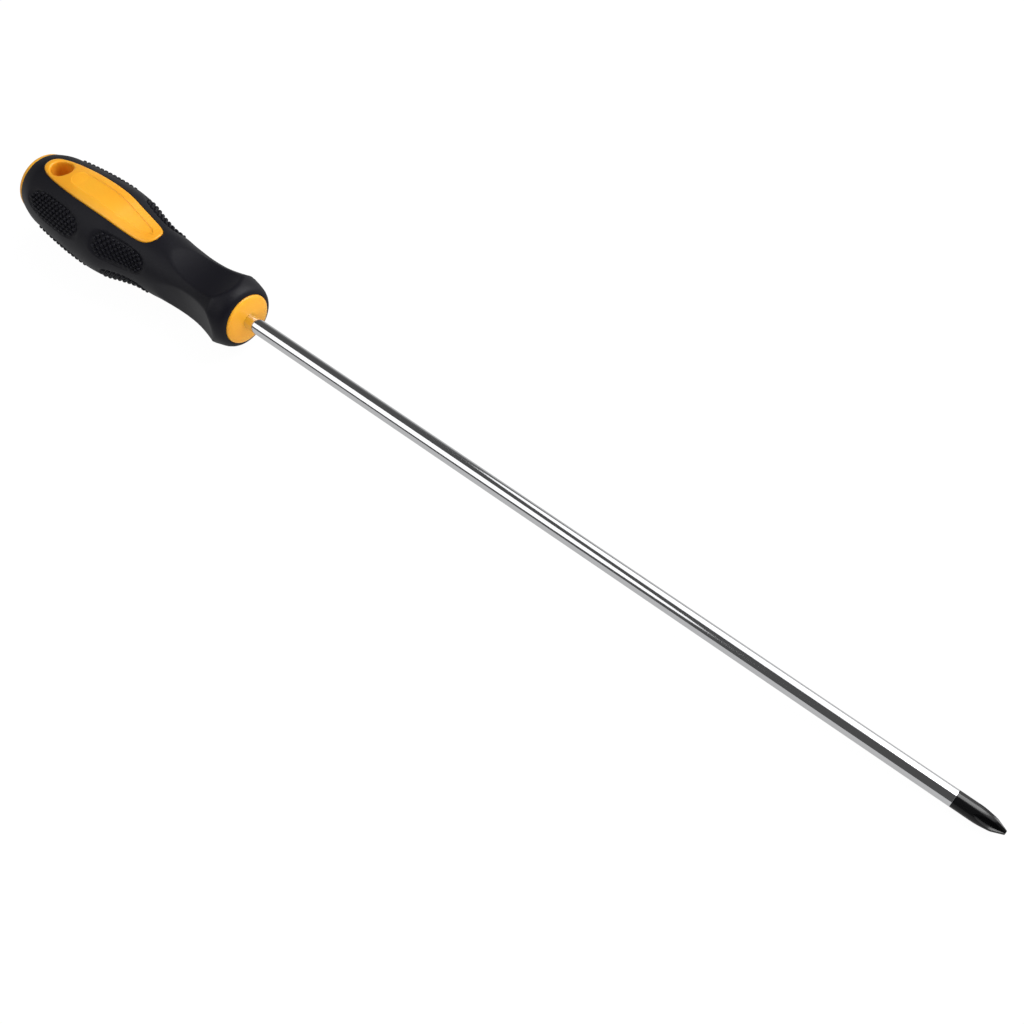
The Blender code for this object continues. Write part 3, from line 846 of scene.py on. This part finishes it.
class SCREWDRIVER_OT_grip_skin(bpy.types.Operator):
    """Turns the soft skin, presses in its scoops and pads, and opens its windows."""
    bl_idname = "screwdriver.grip_skin"
    bl_label = "Grip skin"

    def press_in(self, skin, sizes):
        """Sinks the four neck scoops and the pads into the skin's outer face."""
        places = pad_places()
        scoop_radius = sizes.scoop_radius / MM
        scoop_floor = sizes.scoop_floor / MM
        scoop_station = sizes.scoop_station / MM
        ridge = sizes.ridge_round / MM
        depth = sizes.pad_depth / MM
        rim_steepness = 10.0
        for vertex in skin.data.vertices:
            x, y, z = vertex.co
            radius = math.hypot(y, z)
            # The inner wall and the mouth keep their shape
            if abs(radius - grip_radius(x)) > 0.05 or x > -0.35:
                continue
            angle = math.atan2(y, z)
            quarter = (angle + math.pi / 4.0) % (math.pi / 2.0) - math.pi / 4.0
            reach = min(abs(x - scoop_station), scoop_radius)
            rise = scoop_radius - math.sqrt(scoop_radius ** 2 - reach ** 2)
            scoop = (scoop_floor + rise) / math.cos(quarter)
            blend = max(ridge - abs(radius - scoop), 0.0) / ridge
            pressed = min(radius, scoop) - blend ** 2 * ridge / 4.0
            if x < PADS_BEHIND:
                share = min(pad_share(x, angle, place) for place in places)
                rim = min(max((1.0 - share) * rim_steepness, 0.0), 1.0)
                pressed -= depth * rim * rim * (3.0 - 2.0 * rim)
            vertex.co.y = y * pressed / radius
            vertex.co.z = z * pressed / radius

    def execute(self, context):
        sizes = context.scene.screwdriver_grip
        front, rear = FLANGE_OUTLINE[0][0], GRIP_OUTLINE[-1][0]
        step = sizes.station_step / MM
        stations = [front, -0.5, -0.9, -1.5, -2.5, -3.6, -4.7, -5.8, -7.0, FLANGE_PEAK]
        while stations[-1] - step > rear + 1.2:
            stations.append(stations[-1] - step)
        stations += [-116.6, -117.0, -117.25, rear]
        outer = [(station, grip_radius(station)) for station in stations]
        inner = [(station, radius + BODY_INSET - SKIN_WALL)
                 for station, radius in reversed(body_side())]
        inner.append((front, SKIN_MOUTH))
        skin = turn_profile("grip_skin", outer + inner, sizes.steps, closed=True)
        self.press_in(skin, sizes)
        lip = [(3.0, -0.30), (0.06, -0.27), (-0.04, -0.15), (-0.14, -0.05), (-0.28, 0.0),
               (-6.0, 0.0)]
        upper = slab("window_cutter", window_outline(0.0, WINDOW_REAR, WINDOW_FRONT, 64), lip)
        score(upper, WINDOW_REAR, WINDOW_FRONT, 1.6, WINDOW_REACH, across=2.0)
        bend_to_barrel(upper)
        lower = copy_turned(upper, "window_cutter_lower", math.pi)
        boolean(skin, upper, "DIFFERENCE")
        boolean(skin, lower, "DIFFERENCE")
        smooth(skin, 40.0)
        lay_down(skin, finish_named("grip_rubber", soft_rubber),
                 "grip_sleeve")
        return {"FINISHED"}


class SCREWDRIVER_OT_pads(bpy.types.Operator):
    """Models one rounded dot and sets copies of it in staggered rows on the eight pads."""
    bl_idname = "screwdriver.pads"
    bl_label = "Dotted pads"

    def one_dot(self):
        """A blunt eight-sided dot of unit size with a softened top, standing on Z = 0."""
        deselect()
        bpy.ops.mesh.primitive_cone_add(vertices=8, radius1=1.0, radius2=0.76, depth=0.8,
                                        location=(0.0, 0.0, 0.4))
        dot = newly_added("dot")
        settle(dot)
        bpy.ops.object.mode_set(mode="EDIT")
        bpy.ops.mesh.select_all(action="DESELECT")
        bpy.ops.mesh.select_mode(type="FACE")
        work = bmesh.from_edit_mesh(dot.data)
        for face in work.faces:
            face.select_set(face.calc_center_median().z > 0.75)
        bmesh.update_edit_mesh(dot.data)
        bpy.ops.mesh.inset(thickness=0.36, depth=0.3)
        bpy.ops.object.mode_set(mode="OBJECT")
        return dot

    def fill_pad(self, dot, place, sizes, depth):
        """Copies of the dot in staggered rows inside one pad, joined into one piece."""
        name, middle, half_length, half_angle, turn = place
        pitch = sizes.pitch / MM
        middle_stand = sizes.dot_height / MM
        end_stand = sizes.end_height / MM
        rows = int(half_angle / sizes.row_angle)
        columns = int(half_length / pitch) + 1
        copies = []
        for row in range(-rows, rows + 1):
            shift = 0.5 * pitch * (row % 2)
            for column in range(-columns, columns + 1):
                x = middle + column * pitch + shift
                angle = turn + row * sizes.row_angle
                if pad_share(x, angle, place) > DOTS_WITHIN:
                    continue
                outer_end = (middle - x) if name.startswith("rear") else (x - middle)
                weight = max(outer_end / half_length, 0.0) ** 2
                stand = middle_stand + (end_stand - middle_stand) * weight
                height = depth + DOT_ROOT + stand
                base = grip_radius(x) - depth - DOT_ROOT
                slope = grip_radius(x + 0.5) - grip_radius(x - 0.5)
                width = base * sizes.row_angle * DOT_WIDTH_SHARE
                lean = Matrix.Rotation(-math.atan(slope), 4, "Y")
                size = Matrix.Diagonal((DOT_LENGTH, width, height / UNIT_DOT_HEIGHT, 1.0))
                set_out = Matrix.Translation((x, 0.0, base)) @ lean @ size
                twin = copy_turned(dot, "dot_copy", 0.0)
                twin.data.transform(Matrix.Rotation(-angle, 4, "X") @ set_out)
                copies.append(twin)
        deselect()
        for twin in copies:
            twin.select_set(True)
        bpy.context.view_layer.objects.active = copies[0]
        bpy.ops.object.join()
        pad = bpy.context.active_object
        pad.name = name
        pad.data.name = name
        return pad

    def execute(self, context):
        sizes = context.scene.screwdriver_pads
        depth = context.scene.screwdriver_grip.pad_depth / MM
        dot = self.one_dot()
        for place in pad_places():
            pad = self.fill_pad(dot, place, sizes, depth)
            smooth(pad, 50.0)
            lay_down(pad, finish_named("grip_rubber", soft_rubber))
        bpy.data.objects.remove(dot, do_unlink=True)
        return {"FINISHED"}


class SCREWDRIVER_OT_end_cap(bpy.types.Operator):
    """Turns the domed plug that closes the butt."""
    bl_idname = "screwdriver.end_cap"
    bl_label = "End cap"

    def execute(self, context):
        plug_end = PLUG_FLOOR - 0.2
        chamfer = 0.6
        outline = [(plug_end, 0.0), (plug_end, PLUG_RADIUS - chamfer),
                   (plug_end - chamfer, PLUG_RADIUS), (CAP_SEAT, PLUG_RADIUS),
                   (CAP_SEAT, 12.7), (-117.6, 12.88), (-117.8, CAP_RADIUS)]
        steps = 16
        for index in range(1, steps):
            angle = 0.5 * math.pi * index / steps
            outline.append((CAP_EDGE - CAP_DOME * math.sin(angle), CAP_RADIUS * math.cos(angle)))
        outline.append((CAP_EDGE - CAP_DOME, 0.0))
        cap = turn_profile("butt_cap", outline, 128)
        smooth(cap, 40.0)
        lay_down(cap, finish_named("yellow_moulding", hard_yellow), "end_cap")
        return {"FINISHED"}


class SCREWDRIVER_OT_core(bpy.types.Operator):
    """Gives the hidden core round the tang its plastic."""
    bl_idname = "screwdriver.core"
    bl_label = "Tang core"

    def execute(self, context):
        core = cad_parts.get("tang_core")
        if core is None:
            raise RuntimeError("the packed model has no tang_core")
        core.data.materials.clear()
        core.data.materials.append(finish_named("hard_grey_core", core_plastic))
        return {"FINISHED"}


class SCREWDRIVER_OT_stage(bpy.types.Operator):
    """Lays a pale floor, hangs soft lights and sets the camera."""
    bl_idname = "screwdriver.stage"
    bl_label = "Stage"

    def floor(self):
        """A wide pale floor that takes only a faint shadow."""
        deselect()
        bpy.ops.mesh.primitive_plane_add(size=60.0, location=(0.0, 0.0, -0.0004))
        floor = newly_added("stage_floor")
        material = bpy.data.materials.new("pale_floor")
        material.use_nodes = True
        tree = material.node_tree
        shader = tree.nodes["Principled BSDF"]
        shader.inputs["Base Color"].default_value = (0.05, 0.05, 0.05, 1.0)
        shader.inputs["Roughness"].default_value = 0.9
        shader.inputs["Specular IOR Level"].default_value = 0.0
        shader.inputs["Emission Color"].default_value = (1.0, 1.0, 1.0, 1.0)
        path = tree.nodes.new("ShaderNodeLightPath")
        glow = remap(tree, path.outputs["Is Camera Ray"], 0.0, 1.0, FLOOR_GLOW, FLOOR_SEEN)
        tree.links.new(glow, shader.inputs["Emission Strength"])
        floor.data.materials.append(material)

    def surroundings(self):
        """White to the eye; in reflections a dim room that is paler at its far side."""
        world = bpy.data.worlds.new("studio")
        bpy.context.scene.world = world
        world.use_nodes = True
        tree = world.node_tree
        path = tree.nodes.new("ShaderNodeLightPath")
        source = tree.nodes.new("ShaderNodeTexCoord")
        parts = tree.nodes.new("ShaderNodeSeparateXYZ")
        tree.links.new(source.outputs["Generated"], parts.inputs["Vector"])
        low = remap(tree, parts.outputs["Z"], 0.05, 0.55, 1.0, 0.0)
        far = remap(tree, parts.outputs["Y"], -0.2, 0.7)
        paler = math_node(tree, "MULTIPLY", math_node(tree, "MULTIPLY", low, far), ROOM_FAR_GLOW)
        room = math_node(tree, "ADD", paler, ROOM_GLOW)
        seen = tree.nodes.new("ShaderNodeMix")
        tree.links.new(path.outputs["Is Camera Ray"], seen.inputs[0])
        tree.links.new(room, seen.inputs[2])
        seen.inputs[3].default_value = 1.0
        background = tree.nodes["Background"]
        background.inputs["Color"].default_value = (1.0, 1.0, 1.0, 1.0)
        tree.links.new(seen.outputs[0], background.inputs["Strength"])

    def softbox(self, name, place, target, size, power, in_reflections):
        """One oval softbox aimed at a point."""
        light = bpy.data.lights.new(name, "AREA")
        light.shape = "ELLIPSE"
        light.size, light.size_y = size
        light.energy = power
        item = bpy.data.objects.new(name, light)
        bpy.context.scene.collection.objects.link(item)
        item.location = place
        aim = Vector(target) - Vector(place)
        item.rotation_euler = aim.to_track_quat("-Z", "Y").to_euler()
        item.visible_camera = False
        item.visible_glossy = in_reflections

    def camera(self):
        """The camera, placed in the tool's frame and laid down with it."""
        turned = Matrix((CAMERA_RIGHT, CAMERA_UP, CAMERA_BACK)).transposed()
        local = Matrix.Translation(CAMERA_SPOT) @ turned.to_4x4()
        data = bpy.data.cameras.new("camera")
        data.lens = CAMERA_LENS
        data.sensor_width = 36.0
        data.clip_start = 0.01
        data.clip_end = 100.0
        camera = bpy.data.objects.new("camera", data)
        bpy.context.scene.collection.objects.link(camera)
        camera.matrix_world = tool_place() @ local
        bpy.context.scene.camera = camera

    def execute(self, context):
        context.scene.view_settings.view_transform = "Standard"
        self.floor()
        self.surroundings()
        for name, settings in SOFTBOXES.items():
            self.softbox(name, *settings)
        self.camera()
        return {"FINISHED"}


class SCREWDRIVER_PT_panel(bpy.types.Panel):
    """Lists the steps that build the screwdriver."""
    bl_idname = "SCREWDRIVER_PT_panel"
    bl_label = "Screwdriver"
    bl_space_type = "VIEW_3D"
    bl_region_type = "UI"
    bl_category = "Screwdriver"

    def draw(self, context):
        for operator in OPERATORS:
            self.layout.operator(operator.bl_idname)
        for settings in SETTINGS:
            self.layout.separator()
            group = getattr(context.scene, settings)
            for prop in group.bl_rna.properties:
                if prop.identifier not in {"rna_type", "name"}:
                    self.layout.prop(group, prop.identifier)


OPERATORS = (
    SCREWDRIVER_OT_blade, SCREWDRIVER_OT_hard_body, SCREWDRIVER_OT_grip_skin,
    SCREWDRIVER_OT_pads, SCREWDRIVER_OT_end_cap, SCREWDRIVER_OT_core, SCREWDRIVER_OT_stage,
)
SETTINGS = {
    "screwdriver_grip": GripSizes,
    "screwdriver_pads": PadSizes,
    "screwdriver_blade": BladeSizes,
    "screwdriver_finish": FinishColours,
}


def register():
    """Registers the settings, the operators and the panel."""
    for group in SETTINGS.values():
        bpy.utils.register_class(group)
    for operator in OPERATORS:
        bpy.utils.register_class(operator)
    bpy.utils.register_class(SCREWDRIVER_PT_panel)
    for name, group in SETTINGS.items():
        setattr(bpy.types.Scene, name, bpy.props.PointerProperty(type=group))


def unregister():
    """Takes everything that register added away again."""
    for name in SETTINGS:
        delattr(bpy.types.Scene, name)
    bpy.utils.unregister_class(SCREWDRIVER_PT_panel)
    for operator in reversed(OPERATORS):
        bpy.utils.unregister_class(operator)
    for group in reversed(list(SETTINGS.values())):
        bpy.utils.unregister_class(group)


def main():
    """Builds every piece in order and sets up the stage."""
    register()
    bpy.ops.screwdriver.blade()
    bpy.ops.screwdriver.hard_body()
    bpy.ops.screwdriver.grip_skin()
    bpy.ops.screwdriver.pads()
    bpy.ops.screwdriver.end_cap()
    bpy.ops.screwdriver.core()
    bpy.ops.screwdriver.stage()


if __name__ == "__main__":
    main()
